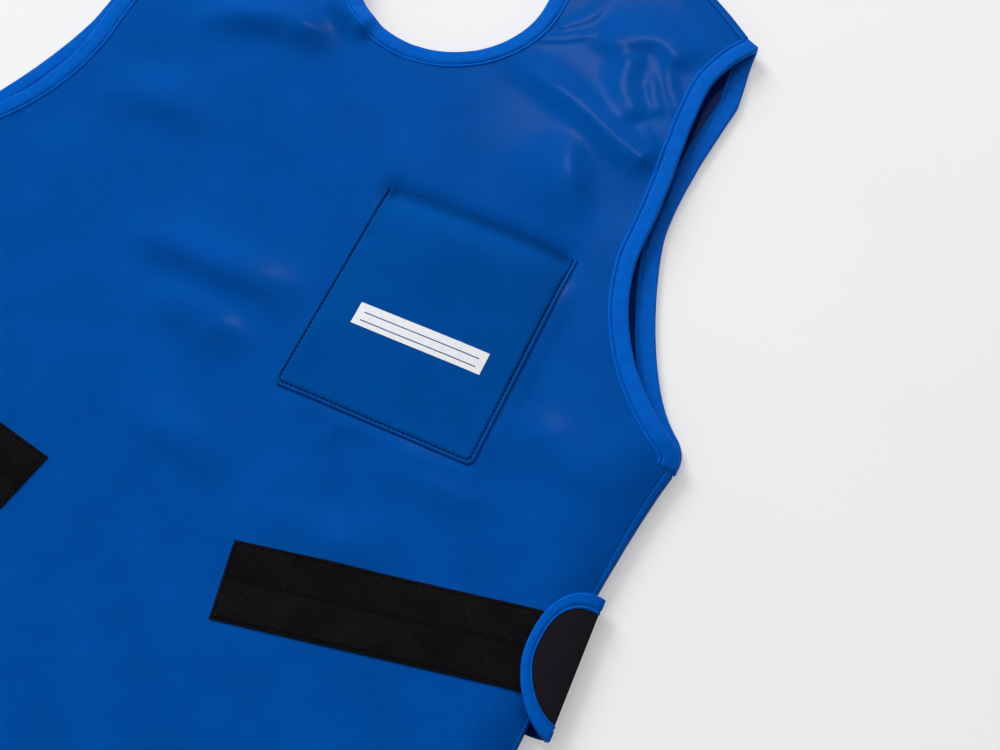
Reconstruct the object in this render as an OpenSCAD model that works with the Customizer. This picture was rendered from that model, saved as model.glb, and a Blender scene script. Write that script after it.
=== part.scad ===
// Lead apron, double sided, lying flat with its front panel up.
// +X is the wearer's left, +Y is towards the head, +Z is up from the surface that it lies on.
// Two laminated panels are joined by rolled seams at the shoulders and the sides. A wide belt
// is sewn across the back, and its two ends come round the sides and hook onto the front.

/* [Garment] */
// Length from the shoulder beside the neck to the hem
total_length = 1000; // [900:10:1150]
// Radius of the round bottom of the neckline
neck_radius = 75; // [65:1:85]
// Depth of the neckline below the shoulder
neck_depth = 170; // [160:1:185]
// Half width of the neckline at the shoulder
neck_half_top = 86; // [82:1:95]
// Half width across the shoulder tips
shoulder_half = 231; // [225:1:245]
// Half width under the arms
underarm_half = 305; // [295:1:320]
// Half width at the hem
hem_half = 299; // [285:1:320]
// Depth of the armhole, from the shoulder tip to the underarm
armhole_depth = 337; // [320:1:350]
// Drop of the shoulder tip below the neck side
shoulder_drop = 65; // [50:1:75]
// Radius of the hem corners
hem_corner_r = 40; // [20:1:60]
// Clear height between the two panels as they lie
body_gap = 6.8; // [6.6:0.1:15]

/* [Layers] */
// Thickness of the coated nylon shell and lining
fabric_t = 0.5; // [0.4:0.1:0.8]
// Thickness of one lead-rubber ply of the front panel
front_ply_t = 1.0; // [0.8:0.1:1.5]
// Thickness of the back panel's lead-rubber ply
back_ply_t = 1.2; // [0.8:0.1:1.5]
// How far the lead rubber stops short of the sewn edge
lead_inset = 8; // [5:1:12]

/* [Edges] */
// Width of the bias binding on each face
binding_w = 13; // [10:1:16]
// Thickness of the folded bias binding
binding_t = 1.2; // [0.8:0.1:1.2]
// Width of the strip that a rolled seam shows on the front
seam_strip_w = 3; // [2:0.5:4]

/* [Pocket] */
// Width of the chest pocket
pocket_w = 146; // [120:1:150]
// Height of the chest pocket
pocket_h = 172; // [150:1:180]
// Rise of the pocket's mouth above the panel
pocket_gape = 8; // [7:0.5:12]

/* [Closure] */
// Width of the waist belt
belt_w = 96; // [80:1:100]
// Width of one loop tape
loop_tape_w = 26; // [20:1:28]
// Length of the loop tapes
loop_tape_len = 204; // [150:1:204]
// Slope of the loop tapes, rising towards the side
loop_slope = 11.3; // [9:0.1:13]
// Reach of the rounded tab inwards from its fold
tab_reach = 34; // [30:1:40]

/* [Hidden] */

shell_blue = "#0048a0";
lining_blue = "#0a2f78";
binding_blue = "#0060d0";
lead_grey = "#5a5d60";
tape_black = "#101012";
belt_black = "#1c1a1d";

// Outlines are drawn from the centre of the neckline's round bottom, then moved so that the
// origin is at the middle of the garment's box.
neck_side_y = neck_depth - neck_radius;
outline_shift = total_length / 2 - neck_side_y;
tip_y = neck_side_y - shoulder_drop;
underarm_y = tip_y - armhole_depth;
hem_y = neck_side_y - total_length + binding_t;
hem_arc_y = hem_y + hem_corner_r;

// Heights of the layers, from the surface up.
belt_face_t = 0.85;
belt_lining_t = 0.35;
belt_t = belt_face_t + belt_lining_t;
back_z = belt_t;
back_lead_z = back_z + fabric_t;
back_lining_z = back_lead_z + back_ply_t;
back_top = back_lining_z + fabric_t;
front_z = back_top + body_gap;
lead_inner_z = front_z + fabric_t;
lead_outer_z = lead_inner_z + front_ply_t;
front_shell_z = lead_outer_z + front_ply_t;
front_top = front_shell_z + fabric_t;
seam_fabric_t = 0.6;

// Heights of the closure on the front.
loop_tape_t = 1.2;
hook_tape_t = 0.6;
tab_gap = 0.1;
hook_z = front_top + loop_tape_t + tab_gap;
tab_z = hook_z + hook_tape_t;
tab_leg_t = hook_tape_t;

// The belt folds on two lines, one low and one high, a little outside the side seam.
fold_x = 301;
belt_y = -459;
fold_low_z = belt_t / 2;
fold_high_z = tab_z + belt_t / 2;
fold_clear = 0.15;

// Points and curves.
function bezier(a, b, c, d, steps) =
    [for (i = [0:steps])
        let (t = i / steps, s = 1 - t)
        a * s * s * s + 3 * b * s * s * t + 3 * c * s * t * t + d * t * t * t];
function arc(centre, r, from, to, steps) =
    [for (i = [0:steps])
        let (a = from + (to - from) * i / steps)
        centre + r * [cos(a), sin(a)]];
function reversed(path) = [for (i = [len(path) - 1:-1:0]) path[i]];
function mirrored(path) = [for (p = reversed(path)) [-p[0], p[1]]];
function tail(path) = [for (i = [1:len(path) - 1]) path[i]];
function trimmed(path, points) = [for (i = [points:len(path) - 1 - points]) path[i]];
function left_normal(a, b) = let (d = (b - a) / norm(b - a)) [-d[1], d[0]];

// Moves an open path to its left by a distance. The panel lies on the path's right.
function moved(path, distance) =
    [for (i = [0:len(path) - 1])
        let (n_in = left_normal(path[max(i - 1, 0)], path[max(i, 1)]),
             n_out = left_normal(path[min(i, len(path) - 2)], path[min(i + 1, len(path) - 1)]))
        path[i] + distance * (n_in + n_out) / (1 + n_in * n_out)];
// Shrinks a closed outline that runs clockwise.
function shrunk(path, distance) =
    [for (i = [0:len(path) - 1])
        let (count = len(path),
             n_in = left_normal(path[(i + count - 1) % count], path[i]),
             n_out = left_normal(path[i], path[(i + 1) % count]))
        path[i] - distance * (n_in + n_out) / (1 + n_in * n_out)];

// Edges of the wearer's left half, each running clockwise round the panel.
neck_half = concat(
    arc([0, 0], neck_radius, -90, 0, 12),
    tail(bezier([neck_radius, 0], [neck_radius, 40], [neck_half_top - 6, neck_side_y - 25],
                [neck_half_top, neck_side_y], 6)));
neck_side = [neck_half_top, neck_side_y];
shoulder_tip = [shoulder_half, tip_y];
underarm = [underarm_half, underarm_y];
hem_corner_top = [hem_half, hem_arc_y];
shoulder_edge = bezier(neck_side, neck_side + [43, 0], shoulder_tip + [-54, 43], shoulder_tip, 15);
// The front armhole turns in sharply below the shoulder tip, and is cut deeper than the back one.
front_turn = shoulder_tip + [-19, -58];
front_waist = shoulder_tip + [-11.5, -185];
front_armhole = concat(
    bezier(shoulder_tip, shoulder_tip + [-9, -16], front_turn + [0, 24], front_turn, 7),
    tail(bezier(front_turn, front_turn + [0, -45], front_waist + [0.5, 50], front_waist, 7)),
    tail(bezier(front_waist, front_waist + [-0.5, -65], underarm + [-46, 38], underarm, 10)));
// The back armhole has a slight corner below the shoulder tip.
back_corner = shoulder_tip + [5, -49];
back_waist = shoulder_tip + [1, -186];
back_armhole = concat(
    bezier(shoulder_tip, shoulder_tip + [0, -14], back_corner + [-2, 18], back_corner, 5),
    tail(bezier(back_corner, back_corner + [-5, -42], back_waist + [-9, 35], back_waist, 8)),
    tail(bezier(back_waist, back_waist + [10, -40], underarm + [-42, 44], underarm, 10)));
side_edge = bezier(underarm, underarm + [-19, -93], hem_corner_top + [-23, 264], hem_corner_top, 16);
hem_corner = arc([hem_half - hem_corner_r, hem_arc_y], hem_corner_r, 0, -90, 8);

function outline(armhole) =
    let (half = concat(neck_half, tail(shoulder_edge), tail(armhole), tail(side_edge),
                       tail(hem_corner)),
         other = mirrored(half))
    concat(half, [for (i = [0:len(other) - 2]) other[i]]);

module place() {
    translate([0, outline_shift, 0]) children();
}

module plate(points, z, thickness) {
    translate([0, 0, z]) linear_extrude(thickness) polygon(points);
}

// A strip along an edge, from a distance outside it to a distance inside it.
module strip(path, outside, inside, z, height) {
    plate(concat(moved(path, outside), reversed(moved(path, -inside))), z, height);
}

module front_shell() {
    color(shell_blue) place() plate(outline(front_armhole), front_shell_z, fabric_t);
}

module front_lead_outer() {
    color(lead_grey) place()
        plate(shrunk(outline(front_armhole), lead_inset), lead_outer_z, front_ply_t);
}

module front_lead_inner() {
    color(lead_grey) place()
        plate(shrunk(outline(front_armhole), lead_inset), lead_inner_z, front_ply_t);
}

module front_lining() {
    color(lining_blue) place() plate(outline(front_armhole), front_z, fabric_t);
}

module back_shell() {
    color(shell_blue) place() plate(outline(back_armhole), back_z, fabric_t);
}

module back_lead() {
    color(lead_grey) place()
        plate(shrunk(outline(back_armhole), lead_inset), back_lead_z, back_ply_t);
}

module back_lining() {
    color(lining_blue) place() plate(outline(back_armhole), back_lining_z, fabric_t);
}

// Folded tape over the edge of a panel: an upper leg, a lower leg and the fold between them.
module edge_tape(path, panel_bottom, panel_top, lower_leg_t) {
    difference() {
        strip(path, binding_t, binding_w, panel_bottom - lower_leg_t,
              panel_top - panel_bottom + lower_leg_t + binding_t);
        strip(path, 0, binding_w + 1, panel_bottom, panel_top - panel_bottom);
    }
}

// Each binding has a stretch on the front panel and one on the back panel, below it.
module front_tape(path) {
    edge_tape(path, front_z, front_top, binding_t);
}

module back_tape(path) {
    edge_tape(path, back_z, back_top, fabric_t);
}

module neck_binding() {
    neck = concat(mirrored(neck_half), tail(neck_half));
    color(binding_blue) place() {
        front_tape(neck);
        back_tape(neck);
    }
}

module armhole_binding() {
    front_tape(front_armhole);
    back_tape(back_armhole);
}

module left_armhole_binding() {
    color(binding_blue) place() armhole_binding();
}

module right_armhole_binding() {
    color(binding_blue) place() mirror([1, 0, 0]) armhole_binding();
}

hem_edge = concat(hem_corner, mirrored(hem_corner));

module front_hem_binding() {
    color(binding_blue) place() front_tape(hem_edge);
}

// The hem of the back panel reaches the surface that the belt lies on.
module back_hem_binding() {
    color(binding_blue) place() edge_tape(hem_edge, back_z, back_top, belt_t);
}

// The back shell rolls over the edge and is topstitched onto the front panel. The seam stops
// short of the bindings at its two ends.
module rolled_seam(path) {
    difference() {
        strip(path, binding_t, seam_strip_w, back_z, front_top + seam_fabric_t - back_z);
        strip(path, 0, seam_strip_w + 1, back_z - 1, front_top - back_z + 1);
    }
}

module side_seam() {
    rolled_seam(trimmed(side_edge, 1));
}

module shoulder_seam() {
    rolled_seam(trimmed(shoulder_edge, 2));
}

module left_side_seam() {
    color(shell_blue) place() side_seam();
}

module right_side_seam() {
    color(shell_blue) place() mirror([1, 0, 0]) side_seam();
}

module left_shoulder_seam() {
    color(shell_blue) place() shoulder_seam();
}

module right_shoulder_seam() {
    color(shell_blue) place() mirror([1, 0, 0]) shoulder_seam();
}

// A patch pocket, sewn flat along three sides and arched at its open mouth.
pocket_x = 111;
pocket_mouth_y = -192;
pocket_margin = 4;
pocket_cols = 16;
pocket_rows = 10;

function pocket_rise(u, v) =
    let (flat = pocket_margin / (pocket_w / 2), across = min(1, abs(u) / (1 - flat)))
    pocket_gape * pow(v, 0.8) * (1 - across * across);
function pocket_points(z) =
    [for (row = [0:pocket_rows]) for (col = [0:pocket_cols])
        let (u = 2 * col / pocket_cols - 1, v = row / pocket_rows)
        [pocket_x + u * pocket_w / 2, pocket_mouth_y - pocket_h * (1 - v), z + pocket_rise(u, v)]];
function cell(row, col) = row * (pocket_cols + 1) + col;

module chest_pocket() {
    count = (pocket_rows + 1) * (pocket_cols + 1);
    rim = concat([for (col = [0:pocket_cols]) cell(0, col)],
                 [for (row = [1:pocket_rows]) cell(row, pocket_cols)],
                 [for (col = [pocket_cols - 1:-1:0]) cell(pocket_rows, col)],
                 [for (row = [pocket_rows - 1:-1:1]) cell(row, 0)]);
    top = [for (row = [0:pocket_rows - 1]) for (col = [0:pocket_cols - 1]) for (half = [0, 1])
        half == 0 ? [cell(row, col), cell(row + 1, col), cell(row + 1, col + 1)]
                  : [cell(row, col), cell(row + 1, col + 1), cell(row, col + 1)]];
    bottom = [for (face = top) [face[0] + count, face[2] + count, face[1] + count]];
    wall = [for (i = [0:len(rim) - 1]) let (j = (i + 1) % len(rim)) for (half = [0, 1])
        half == 0 ? [rim[i], rim[j], rim[j] + count]
                  : [rim[i], rim[j] + count, rim[i] + count]];
    color(shell_blue) place()
        polyhedron(concat(pocket_points(front_top + 2 * fabric_t), pocket_points(front_top)),
                   concat(top, bottom, wall));
}

// Two woven loop tapes side by side, with a narrow gap between them.
loop_start = [74.5, -499.7];
loop_gap = 2;

module loop_tape(side) {
    translate([loop_start[0], loop_start[1], front_top])
        rotate([0, 0, loop_slope])
            translate([0, side > 0 ? loop_gap / 2 : -loop_gap / 2 - loop_tape_w, 0])
                cube([loop_tape_len, loop_tape_w, loop_tape_t]);
}

module left_loop_tape_upper() {
    color(tape_black) place() loop_tape(1);
}

module left_loop_tape_lower() {
    color(tape_black) place() loop_tape(-1);
}

module right_loop_tape_upper() {
    color(tape_black) place() mirror([1, 0, 0]) loop_tape(1);
}

module right_loop_tape_lower() {
    color(tape_black) place() mirror([1, 0, 0]) loop_tape(-1);
}

// The belt lies under the back panel, with its black face down and its blue lining up.
module belt_layer(z, thickness) {
    reach = fold_x - belt_t / 2 - fold_clear;
    translate([-reach, belt_y - belt_w / 2, z]) cube([2 * reach, belt_w, thickness]);
}

module waist_belt() {
    color(belt_black) place() belt_layer(0, belt_face_t);
}

module waist_belt_lining() {
    color(lining_blue) place() belt_layer(belt_face_t, belt_lining_t);
}

// A round roll of the belt on a fold line, which lets the next stretch turn clear of the last.
roll_r = belt_t / 2 - 0.05;

module fold_roll(z) {
    translate([fold_x, belt_y, z]) rotate([90, 0, 0])
        cylinder(h = belt_w, r = roll_r, center = true, $fn = 48);
}

// The belt's right end is its left end turned half round, since each end is even about its middle.
module turned() {
    translate([0, 2 * belt_y, 0]) rotate([0, 0, 180]) children();
}

// The short stretch that stands up beside the side seam.
bend_top = fold_high_z - belt_t / 2 - fold_clear;

module bend_layer(x, thickness, bottom) {
    translate([fold_x + x, belt_y - belt_w / 2, bottom]) cube([thickness, belt_w, bend_top - bottom]);
}

module bend() {
    fold_roll(fold_low_z);
    bend_layer(-belt_t / 2 + belt_lining_t, belt_face_t, fold_low_z);
}

module bend_lining() {
    bend_layer(-belt_t / 2, belt_lining_t, fold_low_z + belt_t / 2);
}

module left_bend() {
    color(belt_black) place() bend();
}

module left_bend_lining() {
    color(lining_blue) place() bend_lining();
}

module right_bend() {
    color(belt_black) place() turned() bend();
}

module right_bend_lining() {
    color(lining_blue) place() turned() bend_lining();
}

// The tab's rounded end is a half superellipse, from the fold line inwards.
tab_roundness = 2.3;
tab_steps = 24;
function tab_edge(reach, half_width) =
    [for (i = [0:tab_steps])
        let (a = 180 * i / tab_steps, c = cos(a), s = i % tab_steps == 0 ? 0 : sin(a))
        [fold_x - reach * pow(s, 2 / tab_roundness),
         belt_y + half_width * sign(c) * pow(abs(c), 2 / tab_roundness)]];

// A layer of the tab, stopping short of the fold line.
module tab_plate(z, thickness, from_fold, edge_inset = 0) {
    translate([0, 0, z]) linear_extrude(thickness) intersection() {
        polygon(tab_edge(tab_reach - edge_inset, belt_w / 2 - edge_inset));
        translate([fold_x - from_fold - 2 * tab_reach, belt_y - belt_w])
            square([2 * tab_reach, 2 * belt_w]);
    }
}

module tab() {
    fold_roll(fold_high_z);
    plate(tab_edge(tab_reach, belt_w / 2), tab_z + belt_lining_t, belt_face_t);
}

module tab_lining() {
    tab_plate(tab_z, belt_lining_t, belt_t / 2 + 0.05);
}

tab_binding_upper_w = 11;
tab_binding_lower_w = 6;
tab_binding_t = 1;
tab_binding_from_fold = 1.2;

module tab_binding() {
    difference() {
        tab_plate(tab_z - tab_leg_t, belt_t + 2 * tab_leg_t, tab_binding_from_fold, -tab_binding_t);
        tab_plate(tab_z, belt_t, 0);
        tab_plate(tab_z + belt_t / 2, belt_t, -1, tab_binding_upper_w);
        tab_plate(tab_z - 1, belt_t, -1, tab_binding_lower_w);
    }
}

hook_w = 18;
hook_len = 54;
hook_from_fold = 4;

module hook_tape() {
    translate([fold_x - hook_from_fold - hook_w, belt_y - hook_len / 2, hook_z])
        cube([hook_w, hook_len, hook_tape_t]);
}

module left_tab() {
    color(belt_black) place() tab();
}

module left_tab_lining() {
    color(lining_blue) place() tab_lining();
}

module left_tab_binding() {
    color(binding_blue) place() tab_binding();
}

module left_hook_tape() {
    color(tape_black) place() hook_tape();
}

module right_tab() {
    color(belt_black) place() turned() tab();
}

module right_tab_lining() {
    color(lining_blue) place() turned() tab_lining();
}

module right_tab_binding() {
    color(binding_blue) place() turned() tab_binding();
}

module right_hook_tape() {
    color(tape_black) place() turned() hook_tape();
}

front_shell();
front_lead_outer();
front_lead_inner();
front_lining();
back_shell();
back_lead();
back_lining();
neck_binding();
left_armhole_binding();
right_armhole_binding();
front_hem_binding();
back_hem_binding();
left_side_seam();
right_side_seam();
left_shoulder_seam();
right_shoulder_seam();
chest_pocket();
left_loop_tape_upper();
left_loop_tape_lower();
right_loop_tape_upper();
right_loop_tape_lower();
waist_belt();
waist_belt_lining();
left_bend();
left_bend_lining();
left_tab();
left_tab_lining();
left_tab_binding();
left_hook_tape();
right_bend();
right_bend_lining();
right_tab();
right_tab_lining();
right_tab_binding();
right_hook_tape();
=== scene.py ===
"""Looks of the lead apron: draped panels, bias bindings, seams, pocket, loop tapes and waist belt.

Lengths are metres in the CAD frame. Plan points are made with at(x, y), in millimetres from the
centre of the neckline's round bottom, x towards the wearer's left and y towards the head.
"""
import math

import bpy
import numpy as np
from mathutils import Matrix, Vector, geometry, noise


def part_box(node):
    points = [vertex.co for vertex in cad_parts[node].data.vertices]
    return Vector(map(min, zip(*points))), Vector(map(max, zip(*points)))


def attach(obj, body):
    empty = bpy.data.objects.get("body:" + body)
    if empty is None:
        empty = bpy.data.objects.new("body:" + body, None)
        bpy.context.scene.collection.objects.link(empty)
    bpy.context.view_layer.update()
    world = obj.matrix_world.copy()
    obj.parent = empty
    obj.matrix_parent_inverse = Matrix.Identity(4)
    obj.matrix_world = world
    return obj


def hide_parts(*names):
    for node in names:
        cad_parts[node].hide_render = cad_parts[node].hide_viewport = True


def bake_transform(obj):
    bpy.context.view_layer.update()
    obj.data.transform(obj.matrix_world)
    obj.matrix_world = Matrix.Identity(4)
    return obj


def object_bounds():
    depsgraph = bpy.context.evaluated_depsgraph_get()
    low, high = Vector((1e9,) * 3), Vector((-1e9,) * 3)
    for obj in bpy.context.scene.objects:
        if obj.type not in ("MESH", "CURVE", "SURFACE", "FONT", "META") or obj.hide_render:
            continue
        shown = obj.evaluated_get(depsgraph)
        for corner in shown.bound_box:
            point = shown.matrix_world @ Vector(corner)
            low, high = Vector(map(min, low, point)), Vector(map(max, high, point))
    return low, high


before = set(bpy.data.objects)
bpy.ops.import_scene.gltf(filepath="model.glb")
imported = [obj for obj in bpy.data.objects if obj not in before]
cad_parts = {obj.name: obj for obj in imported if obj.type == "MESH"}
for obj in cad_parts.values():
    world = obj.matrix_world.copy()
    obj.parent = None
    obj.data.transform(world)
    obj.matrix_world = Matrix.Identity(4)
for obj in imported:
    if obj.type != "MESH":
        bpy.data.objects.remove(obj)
CAD_LO, CAD_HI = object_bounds()
MM = 0.001

# Sizes and heights, from the frame where it has them.
NECK_R = 75 * MM
TAPE_W = 13 * MM
NECK_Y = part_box("neck_binding")[0].y + NECK_R + TAPE_W
FRONT_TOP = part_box("front_shell")[1].z
FRONT_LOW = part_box("front_lining")[0].z
BACK_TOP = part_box("back_lining")[1].z
BACK_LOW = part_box("back_shell")[0].z
FRONT_T = FRONT_TOP - FRONT_LOW
BACK_T = BACK_TOP - BACK_LOW
FABRIC_T = 0.5 * MM
BELT_LO, BELT_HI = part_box("waist_belt")
BELT_Y = (BELT_LO.y + BELT_HI.y) / 2
BELT_HALF = (BELT_HI.y - BELT_LO.y) / 2
BELT_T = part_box("waist_belt_lining")[1].z
FOLD_X = 301 * MM
POCKET_LO, POCKET_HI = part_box("chest_pocket")
POCKET_MID = (POCKET_LO + POCKET_HI) / 2

# The photographed view, aimed a little outside and below the pocket.
AZIMUTH = math.radians(24.785)
ELEVATION = math.radians(63.06)
DISTANCE = 1.160
LENS = 62.61
AIM = Vector((POCKET_MID.x + 62 * MM, POCKET_MID.y - 17.5 * MM, FRONT_TOP))


def make_camera():
    back = Vector((math.sin(AZIMUTH) * math.cos(ELEVATION),
                   -math.cos(AZIMUTH) * math.cos(ELEVATION),
                   math.sin(ELEVATION)))
    data = bpy.data.cameras.new("camera")
    data.lens = LENS
    camera = bpy.data.objects.new("camera", data)
    bpy.context.scene.collection.objects.link(camera)
    camera.location = AIM + DISTANCE * back
    camera.rotation_mode = "QUATERNION"
    camera.rotation_quaternion = (-back).to_track_quat("-Z", "Y")
    bpy.context.scene.camera = camera


make_camera()


# ---- plan curves

def at(x, y):
    """A plan point, from millimetres off the neckline's centre."""
    return np.array([x * MM, NECK_Y + y * MM])


def bezier(a, b, c, d, steps=40):
    t = np.linspace(0, 1, steps + 1)[:, None]
    s = 1 - t
    return a * s ** 3 + 3 * b * s * s * t + 3 * c * s * t * t + d * t ** 3


def arc(centre, radius, start, stop, steps=30):
    a = np.radians(np.linspace(start, stop, steps + 1))
    return centre + radius * np.stack([np.cos(a), np.sin(a)], 1)


def join(*paths):
    """Paths that follow each other, with each shared point kept once."""
    return np.concatenate([paths[0]] + [p[1:] for p in paths[1:]])


def curves(*points):
    """Bezier curves end to end: a plan point, then two handles and the next point, and so on."""
    points = [at(*p) for p in points]
    return join(*[bezier(*points[k:k + 4]) for k in range(0, len(points) - 1, 3)])


def mirrored(path):
    return path[::-1] * [-1, 1]


def lengths(path):
    steps = np.linalg.norm(np.diff(path, axis=0), axis=1)
    return np.concatenate([[0], np.cumsum(steps)])


def even(path, step):
    """The path again, with points about step apart."""
    along = lengths(path)
    places = np.linspace(0, along[-1], max(2, round(along[-1] / step) + 1))
    return np.stack([np.interp(places, along, path[:, k]) for k in range(path.shape[1])], 1)


def smooth(points):
    """A smooth curve through a few plan points."""
    points = np.array([at(*p) for p in points])
    steps = max(2, 30 // len(points))
    padded = np.concatenate([[2 * points[0] - points[1]], points, [2 * points[-1] - points[-2]]])
    parts = []
    for p, q, r, s in zip(padded, padded[1:], padded[2:], padded[3:]):
        parts.append(bezier(q, q + (r - p) / 6, r - (s - q) / 6, r, steps))
    return join(*parts)


def tangents(path):
    d = np.gradient(path, axis=0)
    return d / np.linalg.norm(d, axis=1)[:, None]


CHUNK = 4000


def nearest(path, points):
    """How far points are from a path, how far along it (0 to 1) that is, and on which side."""
    a, d = path[:-1], np.diff(path, axis=0)
    squared = (d * d).sum(1)
    along = lengths(path)
    out = np.empty((3, len(points)))
    for start in range(0, len(points), CHUNK):
        rel = points[start:start + CHUNK, None] - a
        t = np.clip((rel * d).sum(2) / squared, 0, 1)
        gap = rel - t[..., None] * d
        squares = (gap * gap).sum(2)
        best = squares.argmin(1)
        rows = np.arange(len(best))
        out[0, start:start + CHUNK] = np.sqrt(squares[rows, best])
        reached = along[best] + t[rows, best] * np.sqrt(squared[best])
        out[1, start:start + CHUNK] = reached / along[-1]
        cross = d[best, 0] * gap[rows, best, 1] - d[best, 1] * gap[rows, best, 0]
        out[2, start:start + CHUNK] = np.sign(cross)
    return out


def smoothstep(low, high, value):
    t = np.clip((value - low) / (high - low), 0, 1)
    return t * t * (3 - 2 * t)


# Edges of the wearer's left half. The panel lies on the right of each path.
NECK_SIDE, TIP, UNDERARM, HEM_TOP = (86, 95), (231, 30), (305, -307), (299, -863.8)
HEM_R = 40 * MM
NECK_HALF = join(arc(at(0, 0), NECK_R, -90, 0), curves((75, 0), (75, 40), (80, 70), NECK_SIDE))
SHOULDER = curves(NECK_SIDE, (129, 95), (177, 73), TIP)
FRONT_ARMHOLE = curves(
    TIP, (222, 14), (212, -4), (212, -28),
    (212, -73), (220, -105), (219.5, -155),
    (219, -220), (258, -267), (291, -290),
    (299, -295), (305, -299), UNDERARM)
BACK_ARMHOLE = curves(
    TIP, (231, 16), (234, -1), (236, -19),
    (231, -61), (223, -121), (232, -156),
    (240, -192), (266, -260), (294, -284),
    (301, -289), (306, -297), UNDERARM)
SIDE = curves(UNDERARM, (286, -400), (276, -599.8), HEM_TOP)
HEM_CORNER = arc(at(*HEM_TOP) - [HEM_R, 0], HEM_R, 0, -90)
NECK = join(mirrored(NECK_HALF), NECK_HALF)
HEM = join(HEM_CORNER, mirrored(HEM_CORNER))


def outline(armhole, step):
    """A panel's closed outline, clockwise, without its last point again."""
    half = [NECK_HALF, SHOULDER, armhole, SIDE, HEM_CORNER]
    parts = [even(p, step) for p in half]
    middle = even(np.array([HEM_CORNER[-1], HEM_CORNER[-1] * [-1, 1]]), step)
    return join(*parts, middle, *[mirrored(p) for p in parts[::-1]])[:-1]


def shrunk(path, distance):
    """A closed clockwise outline, moved inwards."""
    d = np.roll(path, -1, 0) - np.roll(path, 1, 0)
    d /= np.linalg.norm(d, axis=1)[:, None]
    return path + distance * np.stack([d[:, 1], -d[:, 0]], 1)


# ---- drape

# Folds of the whole front panel: height and the widths on the left and right of the line, in mm,
# how much of the line's start and end fades out, and the points that the line runs through.
FOLDS = (
    (3.8, 15, 9, 0.4, 0.1, ((58, -54), (94, -63), (131, -74), (171, -92), (206, -103))),
    (4.6, 12, 24, 0.5, 0.5, ((126, -88), (137, -106), (150, -130), (164, -158), (174, -180))),
    (7.4, 18, 15, 0.4, 0.3, ((-170, -122), (-107, -98), (-77, -96), (-46, -98))),
    (5.2, 13, 8, 0.3, 0.2, ((-84, -58), (-62, -68), (-44, -76), (-30, -78))),
    (6.2, 24, 13, 0.4, 0.4, ((-130, -296), (-60, -300), (0, -303), (40, -314))),
    (4.6, 14, 18, 0.4, 0.4, ((-82, -338), (-20, -342), (19, -357))),
    (1.2, 5, 10, 0.3, 0.5, ((87, -371), (90, -382), (93, -398))),
    (2.4, 11, 13, 0.3, 0.4, ((118, -373), (145, -383), (176, -388), (214, -385))),
    (2.8, 14, 17, 0.4, 0.4, ((56, -435), (110, -448), (170, -449))),
    (3.2, 20, 11, 0.4, 0.4, ((188, -311), (245, -337), (284, -356))),
    (-4.0, 9, 14, 0.12, 0.08, ((30, -195), (110, -197), (188, -194))),
    (4.6, 22, 16, 0.5, 0.5, ((-200, -200), (-140, -196), (-80, -206))),
    (4.4, 20, 14, 0.5, 0.5, ((-60, -420), (0, -425), (50, -445))),
)
# Wrinkles of the front shell alone, which lift it off the lead rubber, given as the folds are.
WRINKLES = (
    (2.6, 22, 8, 0.3, 0.2, ((112, -14), (128, -14), (141, -9), (149, -3), (157, 2), (165, 3),
                            (174, 0), (185, -5), (196, -13))),
    (2.4, 9, 12, 0.2, 0.2, ((148, -8), (151, -20), (153, -32), (155, -41), (162, -52),
                            (169, -59), (180, -71))),
    (0.9, 4.5, 4, 0.3, 0.2, ((172, -22), (174, -32), (178, -41), (183, -48), (191, -59))),
    (0.9, 4.5, 4.5, 0.2, 0.2, ((175, 0), (177, -6), (180, -14), (183, -23), (190, -35),
                               (198, -45), (204, -56))),
    (0.9, 6, 3, 0.1, 0.4, ((80, -32), (97, -24), (108, -17), (115, -12), (119, -6), (124, 2))),
    (0.8, 5, 3, 0.1, 0.4, ((90, -16), (101, -5), (109, 4), (112, 14), (119, 26))),
    (0.4, 4, 4, 0.3, 0.3, ((178, -68), (187, -75), (198, -86))),
    (0.5, 3, 4, 0.2, 0.4, ((200, -88), (194, -95), (190, -104))),
    (-0.9, 3.5, 5, 0.05, 0.05, ((40, -197), (110, -198), (186, -197))),
    (1.2, 6, 10, 0.1, 0.1, ((187, -205), (187, -290), (187, -358), (180, -370), (110, -371),
                            (44, -371))),
    (0.4, 3, 3, 0.3, 0.3, ((192, -99), (200, -98), (208, -95))),
)
SIDE_DROP, SIDE_ROLL = 5.6 * MM, 34 * MM
SHOULDER_DROP, SHOULDER_ROLL = 3 * MM, 30 * MM
HEM_DROP, HEM_ROLL = 5.4 * MM, 90 * MM
SHOULDER_RISE, RISE_REACH = 2.2 * MM, 45 * MM
FIELD_MARGIN = 12 * MM


def fold_height(folds, points):
    total = np.zeros(len(points))
    for height, left, right, fade_in, fade_out, through in folds:
        line = smooth(through)
        reach = 3 * max(left, right) * MM
        near = ((points > line.min(0) - reach) & (points < line.max(0) + reach)).all(1)
        gap, along, side = nearest(line, points[near])
        width = np.where(side > 0, left, right) * MM
        shown = smoothstep(0, fade_in, along) * smoothstep(0, fade_out, 1 - along)
        total[near] += height * MM * shown * np.exp(-(gap / width) ** 2)
    return total


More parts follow.
